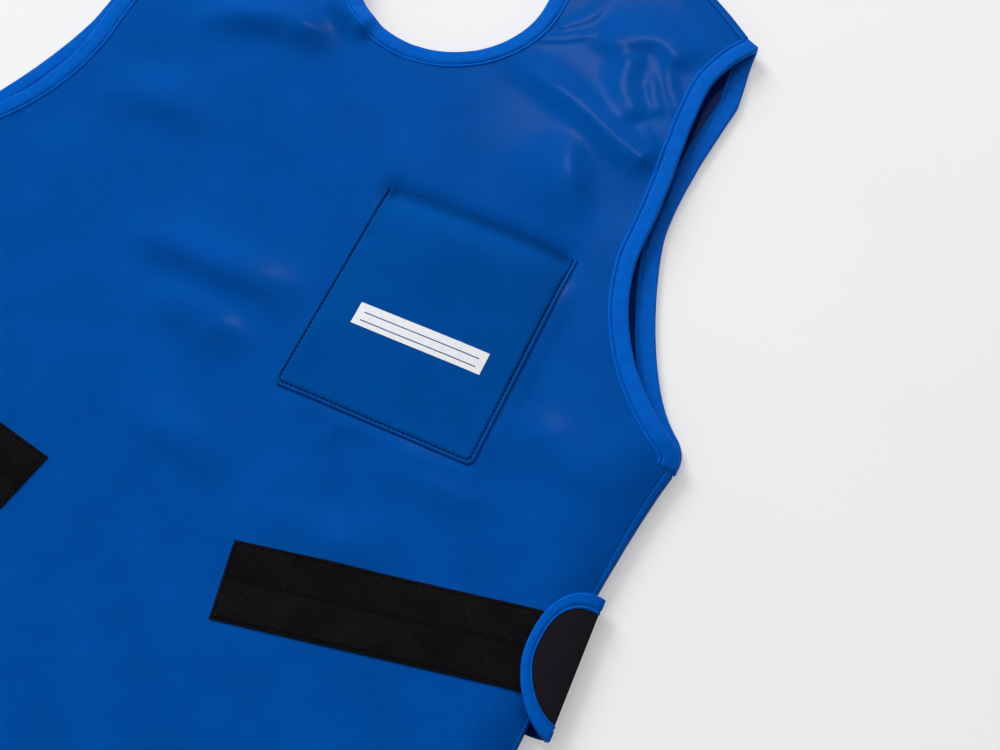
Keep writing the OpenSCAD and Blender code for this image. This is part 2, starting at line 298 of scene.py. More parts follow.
class Field:
    """A height over the plan, worked out once on a fine grid and then looked up."""

    def __init__(self, height, step=2.5 * MM, lo=CAD_LO, hi=CAD_HI):
        lo = np.array(lo)[:2] - FIELD_MARGIN
        hi = np.array(hi)[:2] + FIELD_MARGIN
        self.lo, self.step = lo, step
        x, y = (np.arange(lo[k], hi[k] + step, step) for k in (0, 1))
        grid = np.stack(np.meshgrid(x, y), -1)
        self.values = height(grid.reshape(-1, 2)).reshape(len(y), len(x))

    def __call__(self, points):
        place = (points - self.lo) / self.step
        limit = np.array(self.values.shape[::-1]) - 1.001
        place = np.clip(place, 0, limit)
        cell = place.astype(int)
        fx, fy = (place - cell).T
        i, j = cell.T
        low = self.values[j, i] * (1 - fx) + self.values[j, i + 1] * fx
        high = self.values[j + 1, i] * (1 - fx) + self.values[j + 1, i + 1] * fx
        return low * (1 - fy) + high * fy


def swell(points, size, seed):
    """Soft uneven ground, from -1 to 1."""
    return np.array([noise.noise((x / size, y / size, seed)) for x, y in points])


def roll(path, reach, points):
    """1 on a sewn edge, falling to 0 at some reach from it, on both sides of the garment."""
    gap = nearest(even(path, 8 * MM), np.abs(points * [1, 0]) + points * [0, 1])[0]
    return (1 - np.clip(gap / reach, 0, 1)) ** 2.2


def draped_front(points):
    side = SIDE_DROP * roll(SIDE, SIDE_ROLL, points)
    shoulder = SHOULDER_DROP * roll(SHOULDER, SHOULDER_ROLL, points)
    hem = HEM_DROP * (1 - np.clip((points[:, 1] - HEM[0, 1] + HEM_R) / HEM_ROLL, 0, 1)) ** 2
    drop = (side ** 4 + shoulder ** 4 + hem ** 4) ** 0.25
    ground = 1.2 * swell(points, 0.13, 3.1) + 0.5 * swell(points, 0.055, 8.2)
    calm = 1 - drop / SIDE_DROP
    return (FRONT_LOW + FRONT_TOP) / 2 - drop + (ground * MM + fold_height(FOLDS, points)) * calm


front_middle = Field(draped_front)
front_wrinkles = Field(lambda points: fold_height(WRINKLES, points), 1.25 * MM)


def front_top(points):
    return front_middle(points) + FRONT_T / 2 + front_wrinkles(points)


def draped_back(points):
    rise = SHOULDER_RISE * roll(SHOULDER, RISE_REACH, points)
    return (BACK_LOW + BACK_TOP) / 2 + rise + 0.25 * MM * (1 + swell(points, 0.12, 5.7))


back_middle = Field(draped_back)


def plies(middle, thickness):
    """Makes surfaces at given depths below a panel's top, from the panel's middle surface."""
    return lambda depth: lambda points: middle(points) + thickness / 2 - depth


front_ply, back_ply = plies(front_middle, FRONT_T), plies(back_middle, BACK_T)
FRONT_FACES = (front_top, front_ply(FRONT_T))
BACK_FACES = (back_ply(0), back_ply(BACK_T))
BOTH_FACES = (front_top, back_ply(BACK_T))


# ---- meshes

def new_object(name, points, faces, uv, sharp):
    """A mesh object with outward normals, smooth but for edges over the sharp angle."""
    mesh = bpy.data.meshes.new(name)
    mesh.from_pydata([tuple(p) for p in points], [], [tuple(int(i) for i in f) for f in faces])
    corners = np.zeros(len(mesh.loops), np.int32)
    mesh.loops.foreach_get("vertex_index", corners)
    cloth = mesh.uv_layers.new(name="cloth")
    cloth.data.foreach_set("uv", np.asarray(uv, np.float32)[corners].ravel())
    mesh.validate()
    mesh.shade_smooth()
    mesh.set_sharp_from_angle(angle=math.radians(sharp))
    obj = bpy.data.objects.new(name, mesh)
    bpy.context.scene.collection.objects.link(obj)
    return obj


def inside(path, points):
    """Which points a closed outline holds."""
    a, b = path, np.roll(path, -1, 0)
    held = np.zeros(len(points), bool)
    for (ax, ay), (bx, by) in zip(a, b):
        if ay != by:
            spans = (points[:, 1] > ay) != (points[:, 1] > by)
            held ^= spans & (points[:, 0] < ax + (points[:, 1] - ay) * (bx - ax) / (by - ay))
    return held


def triangles(path, step, rows):
    """Plan points and triangles that fill a closed outline, its own points first."""
    lo, hi = path.min(0), path.max(0)
    x = np.arange(lo[0], hi[0], step)
    y = np.arange(lo[1], hi[1], step * math.sqrt(0.75))
    grid = np.stack(np.meshgrid(x, y), -1)
    grid[1::2, :, 0] += step / 2
    grid = grid.reshape(-1, 2)
    grid = grid[inside(path, grid)]
    closed = np.concatenate([path, path[:1]])
    grid = grid[nearest(closed, grid)[0] > 0.6 * step]
    extra = np.empty((0, 2))
    for row in rows:
        row = row[inside(path, row)]
        row = row[nearest(closed, row)[0] > 0.4 * MM]
        apart = [np.linalg.norm(extra - p, axis=1).min(initial=1) > 0.5 * MM for p in row]
        extra = np.concatenate([extra, row[np.array(apart, bool)]])
        grid = grid[nearest(row, grid)[0] > 0.5 * step]
    points = np.concatenate([path, extra, grid])
    made = geometry.delaunay_2d_cdt([Vector(p) for p in points], [], [list(range(len(path)))],
                                    1, 1e-7)
    return np.array([tuple(v) for v in made[0]]), made[2]


def panel(name, path, step, top, bottom, rows=()):
    """A closed sheet that fills an outline, between two heights, with extra rows of points."""
    plan, faces = triangles(path, step, rows)
    count, rim = len(plan), len(path)
    points = np.concatenate([np.column_stack([plan, top(plan)]),
                             np.column_stack([plan, bottom(plan)])])
    lower = [[count + i for i in reversed(f)] for f in faces]
    walls = [[i, i + count, (i + 1) % rim + count, (i + 1) % rim] for i in range(rim)]
    return new_object(name, points, list(faces) + lower + walls, np.concatenate([plan, plan]), 50)


def slab(name, top, bottom, uv, sharp):
    """A closed sheet between two grids of points of the same shape."""
    rows, cols = top.shape[:2]
    count = rows * cols
    points = np.concatenate([top.reshape(-1, 3), bottom.reshape(-1, 3)])
    index = np.arange(count).reshape(rows, cols)
    quads = np.stack([index[:-1, :-1], index[:-1, 1:], index[1:, 1:], index[1:, :-1]], -1)
    quads = quads.reshape(-1, 4)
    rim = np.concatenate([index[0, :-1], index[:-1, -1], index[-1, :0:-1], index[:0:-1, 0]])
    after = np.roll(rim, -1)
    walls = np.stack([rim, rim + count, after + count, after], 1)
    faces = np.concatenate([quads, quads[:, ::-1] + count, walls])
    flat = uv.reshape(-1, 2)
    return new_object(name, points, faces, np.concatenate([flat, flat]), sharp)


# ---- edge tapes

def narrowed(u, narrow):
    """Distances inside an edge, scaled where the tape is narrow."""
    return np.where(np.asarray(u) > 0, u * narrow, u)[:, None]


class Rail:
    """The line that a tape follows: plan points, inward normals, and its turn about the edge.

    A turn of 0 lies on the upper panel face up, and a half turn lies on the lower panel face down.
    """

    def __init__(self, point, inward, turn, out, upper, lower):
        self.point, self.inward, self.turn, self.out = point, inward, turn, out
        self.upper, self.lower = upper, lower
        self.narrow = np.ones(len(point))
        self.closed = False

    def place(self, u, side, lift):
        """Points u inside the edge, on the outer (side 1) or inner (-1) face, lifted off it."""
        plan = self.point + self.inward * narrowed(u, self.narrow)
        upper_top, upper_low = (face(plan) for face in self.upper)
        lower_top, lower_low = (face(plan) for face in self.lower)
        high, low = (upper_top + upper_low) / 2, (lower_top + lower_low) / 2
        share = (1 - np.cos(self.turn)) / 2
        half = (upper_top - upper_low) / 2 * (1 - share) + (lower_top - lower_low) / 2 * share
        reach = (high - low) / 2 + side * (half + lift)
        turning = np.abs(np.sin(self.turn)) > 1e-6
        reach = np.where(turning, np.maximum(reach, -0.2 * MM), reach)
        z = (high + low) / 2 + reach * np.cos(self.turn)
        xy = plan + self.out * (reach * np.sin(self.turn))[:, None]
        return np.column_stack([xy, z])


def right_of(path):
    d = tangents(path)
    return np.stack([d[:, 1], -d[:, 0]], 1)


def open_rail(path, step, faces):
    """A rail along one edge, with its panel on the path's right."""
    path = even(path, step)
    count = len(path)
    return Rail(path, right_of(path), np.zeros(count), np.zeros((count, 2)), faces, faces)


def loop_rail(front, back, step, turn_steps=9):
    """A rail along the front panel's edge, round the seam, back along the back panel's edge."""
    front, back = even(front, step), even(back, step)
    normals = [right_of(front), right_of(back)[::-1]]
    ends = [tangents(front)[-1], -tangents(back)[0]]
    back = back[::-1]
    angles = np.linspace(0, math.pi, turn_steps + 2)[1:-1]
    share = (angles / math.pi)[:, None]
    parts = [
        (front, normals[0], np.zeros(len(front)), np.zeros((len(front), 2))),
        (np.repeat(front[-1:], turn_steps, 0), normals[0][-1] * (1 - share) + normals[1][0] * share,
         angles, np.repeat(ends[0][None], turn_steps, 0)),
        (back, normals[1], np.full(len(back), math.pi), np.zeros((len(back), 2))),
        (np.repeat(back[-1:], turn_steps, 0), normals[1][-1] * (1 - share) + normals[0][0] * share,
         angles + math.pi, np.repeat(-ends[1][None], turn_steps, 0)),
    ]
    point, inward, turn, out = (np.concatenate([p[k] for p in parts]) for k in range(4))
    rail = Rail(point, inward, turn, out, FRONT_FACES, BACK_FACES)
    rail.closed = True
    return rail


LIP_W, GROOVE_U = 1.9 * MM, 2.6 * MM
TURN_LENGTH = 3 * MM


def leg(width, thickness, lip):
    """Distances from the edge and thicknesses across one leg of a tape, from its inner border."""
    if not lip:
        return [(width, 0.2 * thickness), (width - 0.3 * MM, 0.7 * thickness),
                (width * 0.6, thickness), (width * 0.2, thickness)]
    return [(width, 0.1 * thickness), (width - 0.25 * MM, 0.55 * thickness),
            (width - 0.9 * MM, 0.85 * thickness), (width - LIP_W, 0.55 * thickness),
            (width - GROOVE_U, 0.12 * thickness), (width - GROOVE_U - 0.7 * MM, 0.6 * thickness),
            (width - GROOVE_U - 1.7 * MM, 0.9 * thickness), (width * 0.45, thickness),
            (width * 0.2, thickness), (0.6 * MM, thickness)]


def tape_profile(upper, lower, thickness, nose, lip=True):
    """A folded tape's closed section, as (distance inside the edge, side, lift) rows."""
    rows = [(u, 1.0, t) for u, t in leg(upper, thickness, lip)]
    for angle in np.radians(np.linspace(80, -80, 7)):
        rows.append((-nose * math.cos(angle), math.sin(angle), thickness))
    rows += [(u, -1.0, t) for u, t in reversed(leg(lower, thickness, lip))]
    gap = 0.04 * MM
    rows += [(lower * 0.5, -1.0, gap), (0.0, -1.0, gap)]
    rows += [(-0.15 * nose, 0.0, gap)]
    rows += [(0.0, 1.0, gap), (upper * 0.5, 1.0, gap)]
    return rows


def rail_lengths(rail):
    """Length along a rail, with its turns about the edge counted in."""
    return lengths(np.column_stack([rail.point, rail.turn * TURN_LENGTH]))


def sweep(name, rail, profile, ripple, seed, pucker):
    """A tape swept along a rail. ripple moves its edges and pucker its crown, in metres."""
    count = len(rail.point)
    along = rail_lengths(rail)
    wave = np.array([noise.noise((s / (17 * MM), seed, 0.5)) for s in along])
    fine = np.array([noise.noise((s / (6 * MM), seed, 4.5)) for s in along])
    rows, uv, across = [], [], 0.0
    for k, (u, side, lift) in enumerate(profile):
        shift = ripple * wave
        puff = pucker * (fine + 0.6 * wave) if lift > 0.5 * MM else 0
        rows.append(rail.place(u + shift, np.full(count, side), lift + puff))
        before = profile[k - 1] if k else profile[0]
        across += abs(u - before[0]) + abs(side - before[1]) * TURN_LENGTH / 2
        uv.append(np.column_stack([along, np.full(count, across)]))
    points = np.stack(rows, 1)
    uv = np.stack(uv, 1)
    size = len(profile)
    index = np.arange(count * size).reshape(count, size)
    a = index if rail.closed else index[:-1]
    b = np.roll(index, -1, 0) if rail.closed else index[1:]
    quads = np.stack([a, b, np.roll(b, -1, 1), np.roll(a, -1, 1)], -1).reshape(-1, 4)
    faces = [list(q) for q in quads]
    if not rail.closed:
        faces += [list(index[0]), list(index[-1][::-1])]
    return new_object(name, points.reshape(-1, 3), faces, uv.reshape(-1, 2), 60)


# ---- thread

STITCH_SIDES = 6
# A stitch's cross sections: share of its length, of its radius, and rise of its middle in radii.
STITCH_SHARE = np.array([0, 0.1, 0.3, 0.7, 0.9, 1.0])
STITCH_SIZE = np.array([0.35, 0.8, 1, 1, 0.8, 0.35])
STITCH_RISE = np.array([-1.0, 0.0, 0.5, 0.5, 0.0, -1.0])
UP = np.array([0.0, 0.0, 1.0])


def stitch_row(name, line, length=2.6 * MM, gap=0.55 * MM, radius=0.26 * MM):
    """A row of lockstitches along a 3-D line. Each stitch dips into the cloth at its ends."""
    along = lengths(line)
    starts = np.arange(gap, along[-1] - length, length + gap)
    places = starts[:, None] + length * STITCH_SHARE
    centre = np.stack([np.interp(places, along, line[:, k]) for k in range(3)], -1)
    across = np.cross(centre[:, -1] - centre[:, 0], UP)
    across /= np.linalg.norm(across, axis=1)[:, None]
    angles = np.arange(STITCH_SIDES) * 2 * math.pi / STITCH_SIDES
    spokes = across[:, None] * np.cos(angles)[:, None] + UP * np.sin(angles)[:, None]
    heart = centre + UP * (STITCH_RISE * radius)[:, None]
    points = heart[:, :, None] + spokes[:, None] * (STITCH_SIZE * radius)[:, None, None]
    uv = np.stack(np.broadcast_arrays(places[..., None], angles * radius), -1)
    index = np.arange(uv.size // 2).reshape(uv.shape[:3])
    after = np.roll(index, -1, 2)
    quads = np.stack([index[:, :-1], after[:, :-1], after[:, 1:], index[:, 1:]], -1)
    faces = [*quads.reshape(-1, 4), *index[:, 0, ::-1], *index[:, -1]]
    return new_object(name, points.reshape(-1, 3), faces, uv.reshape(-1, 2), 80)


def on_surface(path, surface, lift):
    """A plan path laid on a surface."""
    return np.column_stack([path, surface(path) + lift])


# ---- materials

def nodes_of(name):
    material = bpy.data.materials.new(name)
    material.use_nodes = True
    tree = material.node_tree
    return material, tree, tree.nodes["Principled BSDF"]


def node(tree, kind, inputs=None, **settings):
    made = tree.nodes.new(kind)
    for key, value in settings.items():
        setattr(made, key, value)
    for key, value in (inputs or {}).items():
        if isinstance(value, bpy.types.NodeSocket):
            tree.links.new(value, made.inputs[key])
        else:
            made.inputs[key].default_value = value
    return made


def cloth_place(tree, angle=0.0):
    """Coordinates in metres along the cloth, turned by an angle."""
    uv = node(tree, "ShaderNodeUVMap", uv_map="cloth")
    turned = node(tree, "ShaderNodeMapping", {"Vector": uv.outputs["UV"]})
    turned.inputs["Rotation"].default_value[2] = angle
    return turned.outputs["Vector"]


def mottle(tree, place, size, detail=3.0):
    """Noise from 0 to 1 with features of a size in metres."""
    made = node(tree, "ShaderNodeTexNoise", {"Vector": place, "Scale": 1 / size, "Detail": detail})
    return made.outputs["Fac"]


def remap(tree, factor, low=0.3, high=0.7, start=0.0, stop=1.0):
    """A factor's range from low to high, stretched to run from start to stop."""
    made = node(tree, "ShaderNodeMapRange", {"Value": factor, "From Min": low, "From Max": high,
                                             "To Min": start, "To Max": stop})
    return made.outputs["Result"]


def blend_colours(tree, factor, dark, light, low=0.3, high=0.7):
    mix = node(tree, "ShaderNodeMix", data_type="RGBA")
    tree.links.new(remap(tree, factor, low, high), mix.inputs["Factor"])
    for socket, colour in ((6, dark), (7, light)):
        if isinstance(colour, bpy.types.NodeSocket):
            tree.links.new(colour, mix.inputs[socket])
        else:
            mix.inputs[socket].default_value = (*colour, 1)
    return mix.outputs[2]


def threads(tree, place, pitch):
    """Plain weave: crossing threads of one pitch, from 0 in the gaps to 1 on the crowns."""
    bands = [node(tree, "ShaderNodeTexWave", {"Vector": place, "Scale": 0.314 / pitch},
                  bands_direction=axis) for axis in "XY"]
    over = node(tree, "ShaderNodeMath", {0: bands[0].outputs["Fac"], 1: bands[1].outputs["Fac"]},
                operation="MAXIMUM")
    return over.outputs[0]


def bump(tree, height, depth, strength=1.0, normal=None):
    made = node(tree, "ShaderNodeBump", {"Height": height, "Distance": depth, "Strength": strength})
    if normal is not None:
        tree.links.new(normal, made.inputs["Normal"])
    return made.outputs["Normal"]


BLUE_TINT, WHITE = (0.02, 0.3, 1, 1), (1, 1, 1, 1)


def finish_cloth(tree, shader, colour, roughness, normal, specular, tint=BLUE_TINT):
    tree.links.new(colour, shader.inputs["Base Color"])
    tree.links.new(normal, shader.inputs["Normal"])
    shader.inputs["Roughness"].default_value = roughness
    shader.inputs["Specular IOR Level"].default_value = specular
    shader.inputs["Specular Tint"].default_value = tint


def mottled(name, dark, light, spots, grain, roughness, specular, tint=BLUE_TINT):
    """Mottled colour with a fine relief.

    spots is the mottling's size, detail and range, and grain the relief's size, depth, strength.
    """
    material, tree, shader = nodes_of(name)
    place = cloth_place(tree)
    size, detail, low, high = spots
    colour = blend_colours(tree, mottle(tree, place, size, detail), dark, light, low, high)
    size, depth, strength = grain
    normal = bump(tree, mottle(tree, place, size), depth, strength)
    finish_cloth(tree, shader, colour, roughness, normal, specular, tint)
    return material


def coated_nylon(name, dark, light, coat=0.04):
    """Close-woven nylon with a satin coating: faint weave, soft mottling, uneven gloss."""
    material, tree, shader = nodes_of(name)
    place = cloth_place(tree)
    large, small = mottle(tree, place, 0.045), mottle(tree, place, 0.004)
    weave = threads(tree, place, 0.45 * MM)
    colour = blend_colours(tree, large, dark, light)
    grain = node(tree, "ShaderNodeMix", data_type="RGBA", blend_type="MULTIPLY")
    grain.inputs["Factor"].default_value = 0.12
    tree.links.new(colour, grain.inputs[6])
    tree.links.new(small, grain.inputs[7])
    normal = bump(tree, weave, 0.02 * MM, 0.35)
    normal = bump(tree, mottle(tree, place, 0.012), 0.25 * MM, 0.5, normal)
    finish_cloth(tree, shader, grain.outputs[2], 0.46, normal, 0.05)
    tree.links.new(remap(tree, small, start=0.42, stop=0.5), shader.inputs["Roughness"])
    shader.inputs["Coat Weight"].default_value = coat
    shader.inputs["Coat Roughness"].default_value = 0.2
    return material


def bias_tape(name, dark, light):
    """Shiny woven tape cut on the bias: diagonal threads, faint fuzz and pulled streaks."""
    material, tree, shader = nodes_of(name)
    place = cloth_place(tree, math.radians(45))
    weave = threads(tree, place, 0.5 * MM)
    colour = blend_colours(tree, mottle(tree, place, 0.006), dark, light)
    normal = bump(tree, weave, 0.04 * MM, 0.5)
    normal = bump(tree, mottle(tree, place, 0.003), 0.2 * MM, 0.4, normal)
    finish_cloth(tree, shader, colour, 0.5, normal, 0.2)
    return material


def pile(name, dark, light, pitch):
    """Black loop pile: ribs across the tape and fuzzy loops, darker in the pits between the loops
    as painted shade.
    """
    material, tree, shader = nodes_of(name)
    place = cloth_place(tree)
    ribs = node(tree, "ShaderNodeTexWave", {"Vector": place, "Scale": 0.314 / pitch,
                                            "Distortion": 1.5, "Detail Scale": 3.0})
    loops = node(tree, "ShaderNodeTexVoronoi", {"Vector": place, "Scale": 1 / (0.7 * MM)})
    worn = blend_colours(tree, mottle(tree, place, 0.03, 5), light, [1.9 * c for c in light])
    # Dark in the pits of the loop relief and light on its crowns: painted shade.
    colour = blend_colours(tree, loops.outputs["Distance"], dark, worn, 0.1, 0.9)
    normal = bump(tree, loops.outputs["Distance"], 0.3 * MM, 0.8)
    normal = bump(tree, ribs.outputs["Fac"], 0.15 * MM, 0.6, normal)
    finish_cloth(tree, shader, colour, 0.9, normal, 0.08, WHITE)
    return material


def soft_face(name, dark, light):
    """Smooth matte belt facing with a faint grain."""
    return mottled(name, dark, light, (0.02, 3, 0.3, 0.7), (0.0015, 0.08 * MM, 0.5), 0.6, 0.12,
                   WHITE)


def rubber(name, dark, light):
    """Calendered lead rubber: grey, dull, with dusting."""
    return mottled(name, dark, light, (0.03, 6, 0.3, 0.7), (0.002, 0.1 * MM, 0.4), 0.75, 0.3)


def ink(name, colour):
    """Printed film with fine cracks and pinholes."""
    worn = tuple(0.93 * c for c in colour)
    return mottled(name, worn, colour, (0.004, 6, 0.3, 0.55), (0.001, 0.05 * MM, 0.4), 0.45, 0.3)


def yarn(name, dark, light):
    """Twisted sewing thread, darker in the grooves of its twist as painted shade."""
    material, tree, shader = nodes_of(name)
    place = cloth_place(tree, math.radians(35))
    twist = node(tree, "ShaderNodeTexWave", {"Vector": place, "Scale": 0.314 / (0.4 * MM)})
    # Dark in the twist's grooves and light on its crowns: painted shade.
    colour = blend_colours(tree, twist.outputs["Fac"], dark, light, 0, 1)
    normal = bump(tree, twist.outputs["Fac"], 0.05 * MM)
    finish_cloth(tree, shader, colour, 0.7, normal, 0.1)
    return material


def paper(name):
    """The studio's pale floor."""
    material, tree, shader = nodes_of(name)
    where = node(tree, "ShaderNodeNewGeometry").outputs["Position"]
    colour = blend_colours(tree, mottle(tree, where, 0.3), (0.48, 0.48, 0.48), (0.50, 0.50, 0.50))
    normal = bump(tree, mottle(tree, where, 0.002), 0.05 * MM, 0.2)
    finish_cloth(tree, shader, colour, 0.9, normal, 0.1, WHITE)
    shader.inputs["Emission Color"].default_value = WHITE
    shader.inputs["Emission Strength"].default_value = 0.37
    return material


SHELL = coated_nylon("shell", (0.0001, 0.065, 0.320), (0.0002, 0.077, 0.375))
POCKET = coated_nylon("pocket", (0.0001, 0.062, 0.29), (0.0002, 0.070, 0.32), 0)
# The seam roll is the back shell's blue cloth made lighter: painted highlight on the rolled edge.
SEAM = coated_nylon("seam", (0.0001, 0.072, 0.34), (0.0002, 0.085, 0.40))
# The lining is the shell's blue cloth darkened: painted shade for the lining seen in shade through
# the armholes and under the belt's fold.
SHADED_LINING = coated_nylon("lining", (0.0002, 0.018, 0.13), (0.0004, 0.022, 0.16), 0.02)
BINDING = bias_tape("binding", (0.0001, 0.090, 0.45), (0.0002, 0.105, 0.52))
LOOPS = pile("loop_tape", (0.0022, 0.0019, 0.0021), (0.0062, 0.0053, 0.0062), 1.7 * MM)
HOOKS = pile("hook_tape", (0.004, 0.004, 0.004), (0.010, 0.009, 0.010), 1.2 * MM)
BELT = soft_face("belt", (0.0075, 0.0065, 0.0090), (0.0095, 0.0082, 0.0115))
LEAD = rubber("lead_rubber", (0.09, 0.095, 0.10), (0.13, 0.135, 0.14))
NAVY = yarn("thread", (0.0004, 0.002, 0.012), (0.0008, 0.004, 0.025))
BLUE_THREAD = yarn("thread_blue", (0.0005, 0.04, 0.24), (0.0008, 0.055, 0.30))
DEEP_BLUE_THREAD = yarn("thread_deep", (0.0003, 0.016, 0.10), (0.0006, 0.024, 0.15))
BLACK_THREAD = yarn("thread_black", (0.0008, 0.0008, 0.0008), (0.003, 0.0028, 0.003))
PRINT = ink("print", (0.83, 0.84, 0.86))
RULE = ink("print_rule", (0.02, 0.07, 0.24))


def dress(obj, material, slot, body="garment", *nodes):
    """Gives a piece its material and body, and hides the CAD nodes that it stands for. slot is not
    used.
    """
    obj.data.materials.append(material)
    if body:
        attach(obj, body)
    if nodes:
        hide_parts(*nodes)
    return obj


# ---- panels

FINE, MEDIUM, COARSE = 4 * MM, 6 * MM, 9 * MM
LEAD_INSET = 8 * MM


def crease_rows():
    """Rows of points along the shell's wrinkles, so that their narrow crests are kept."""
    rows = []
    for _, left, right, _, _, through in WRINKLES:
        line = even(smooth(through), 2 * MM)
        for k in (-1.6, -0.8, 0, 0.8, 1.6):
            width = right if k > 0 else left
            rows.append(line + right_of(line) * k * width * MM)
    return rows


def layer(name, material, slot, path, step, top, bottom, rows=()):
    made = panel(name + "_sheet", path, step, top, bottom, rows)
    dress(made, material, slot, "garment", name)
    return made


def make_panels():
    front, back = outline(FRONT_ARMHOLE, FINE), outline(BACK_ARMHOLE, FINE)
    rough_front, rough_back = outline(FRONT_ARMHOLE, COARSE), outline(BACK_ARMHOLE, COARSE)
    ply = (FRONT_T - 2 * FABRIC_T) / 2
    air = 0.08 * MM
    layer("front_shell", SHELL, "shell", front, FINE, front_top,
          lambda points: front_top(points) - FABRIC_T, crease_rows())
    for name, depth, under in (("front_lead_outer", FABRIC_T, "front_lead_inner_sheet"),
                               ("front_lead_inner", FABRIC_T + ply, "front_lining_sheet")):
        layer(name, LEAD, "lead_rubber", shrunk(rough_front, LEAD_INSET), COARSE,
              front_ply(depth + 3 * air), front_ply(depth + ply - air))
    layer("front_lining", SHADED_LINING, "lining", front, MEDIUM, front_ply(FRONT_T - FABRIC_T),
          front_ply(FRONT_T))
    layer("back_lining", SHADED_LINING, "lining", back, MEDIUM, back_ply(0), back_ply(FABRIC_T))
    layer("back_lead", LEAD, "lead_rubber", shrunk(rough_back, LEAD_INSET), COARSE,
          back_ply(FABRIC_T + air), back_ply(BACK_T - FABRIC_T - air))
    layer("back_shell", SHELL, "shell", back, MEDIUM, back_ply(BACK_T - FABRIC_T),
          back_ply(BACK_T))


# ---- bindings and seams

RAIL_STEP = 3 * MM
TAPE_T = 0.95 * MM


def flipped(rail):
    """The same rail on the wearer's right."""
    other = Rail(rail.point * [-1, 1], rail.inward * [-1, 1], rail.turn, rail.out * [-1, 1],
                 rail.upper, rail.lower)
    other.closed, other.narrow = rail.closed, rail.narrow
    return other


def tape_stitches(name, rail, u, thread, lift=0.2 * MM):
    """A row of stitches along the front stretch of a tape, u inside the edge."""
    count = len(rail.point)
    line = rail.place(np.full(count, u), np.ones(count), lift)[rail.turn == 0]
    return dress(stitch_row(name, even(line, 2 * MM)), thread, "thread")


def bind(edge, rail, ripple, seed, pucker, nose=1.3 * MM, stitched=True):
    """A bias tape folded over an edge, and its stitches."""
    section = tape_profile(TAPE_W, TAPE_W, TAPE_T, nose)
    tape = sweep(f"{edge}_tape", rail, section, ripple, seed, pucker)
    dress(tape, BINDING, "binding", "garment", f"{edge}_binding")
    if stitched:
        tape_stitches(f"{edge}_stitches", rail, TAPE_W - GROOVE_U, BLUE_THREAD)


def make_bindings():
    armhole = loop_rail(FRONT_ARMHOLE, BACK_ARMHOLE, RAIL_STEP)
    for side, rail in (("left", armhole), ("right", flipped(armhole))):
        bind(f"{side}_armhole", rail, 0.3 * MM, 2.0 + len(side), 0.22 * MM)
    neck = loop_rail(NECK, NECK, RAIL_STEP)
    gathered = 1 - smoothstep(-NECK_R, NECK_R / 2, neck.point[:, 0])
    bind("neck", neck, (0.35 + 0.75 * gathered) * MM, 7.7, (0.25 + 0.75 * gathered) * MM)
    for face, faces in (("front", FRONT_FACES), ("back", BACK_FACES)):
        rail = open_rail(HEM, RAIL_STEP, faces)
        bind(f"{face}_hem", rail, 0.3 * MM, 11.0, 0.2 * MM, 1.2 * MM, stitched=face == "front")


def stretch(path, start, stop):
    """Part of a path, from one share of its length to another."""
    path = even(path, 2 * MM)
    last = len(path) - 1
    return path[round(start * last):round(stop * last) + 1]


SEAM_LOWER, SEAM_T, SEAM_NOSE = 5 * MM, 0.7 * MM, 1.1 * MM


def make_seams():
    """The back shell rolls over the edge and is topstitched onto the front."""
    for place, path, start, stop, width in (("side", SIDE, 0.012, 0.998, 4.2 * MM),
                                            ("shoulder", SHOULDER, 0.085, 0.93, 5.6 * MM)):
        section = tape_profile(width, SEAM_LOWER, SEAM_T, SEAM_NOSE, lip=False)
        rail = open_rail(stretch(path, start, stop), RAIL_STEP, BOTH_FACES)
        if place == "side":
            thin, full = at(0, -450)[1], at(0, -325)[1]
            rail.narrow = 0.36 + 0.64 * smoothstep(thin, full, rail.point[:, 1])
        for side, way in (("left", rail), ("right", flipped(rail))):
            strip = sweep(f"{side}_{place}_roll", way, section, 0.2 * MM, 3.3, 0.1 * MM)
            # The roll's lighter blue is painted highlight.
            dress(strip, SEAM, "seam", "garment", f"{side}_{place}_seam")
            tape_stitches(f"{side}_{place}_stitches", way, width + 0.35 * MM, DEEP_BLUE_THREAD,
                          0.05 * MM)


# ---- pocket

POCKET_W = POCKET_HI.x - POCKET_LO.x
POCKET_H = POCKET_HI.y - POCKET_LO.y
POCKET_T = 1.1 * MM
POCKET_GAPE = 7.6 * MM
CORNER_R = 5 * MM
STITCH_IN = 2.6 * MM
POCKET_CREASES = (
    (0.8, 6, 9, 0.1, 0.6, ((44, -241), (60, -251), (80, -262))),
)


def pocket_path(inset, step):
    """The three sewn sides, from the mouth down one side, across and up the other."""
    left, right = POCKET_LO.x + inset, POCKET_HI.x - inset
    low, high = POCKET_LO.y + inset, POCKET_HI.y
    r = CORNER_R - inset / 2
    path = join(np.array([[right, high], [right, low + r]]),
                arc(np.array([right - r, low + r]), r, 0, -90, 8),
                np.array([[right - r, low], [left + r, low]]),
                arc(np.array([left + r, low + r]), r, -90, -180, 8),
                np.array([[left, low + r], [left, high]]))
    return even(path, step)


def pocket_lift(points):
    """How far the pocket stands off the panel, most at its mouth and right of its middle."""
    u = (points[:, 0] - POCKET_MID.x) / (POCKET_W / 2)
    v = np.clip((points[:, 1] - POCKET_LO.y) / POCKET_H, 0, 1)
    u = u - 0.25 * (1 - u * u)
    across = np.clip(1 - (np.abs(u) / 0.93) ** 2.2, 0, 1)
    return POCKET_GAPE * v ** 2.2 * across


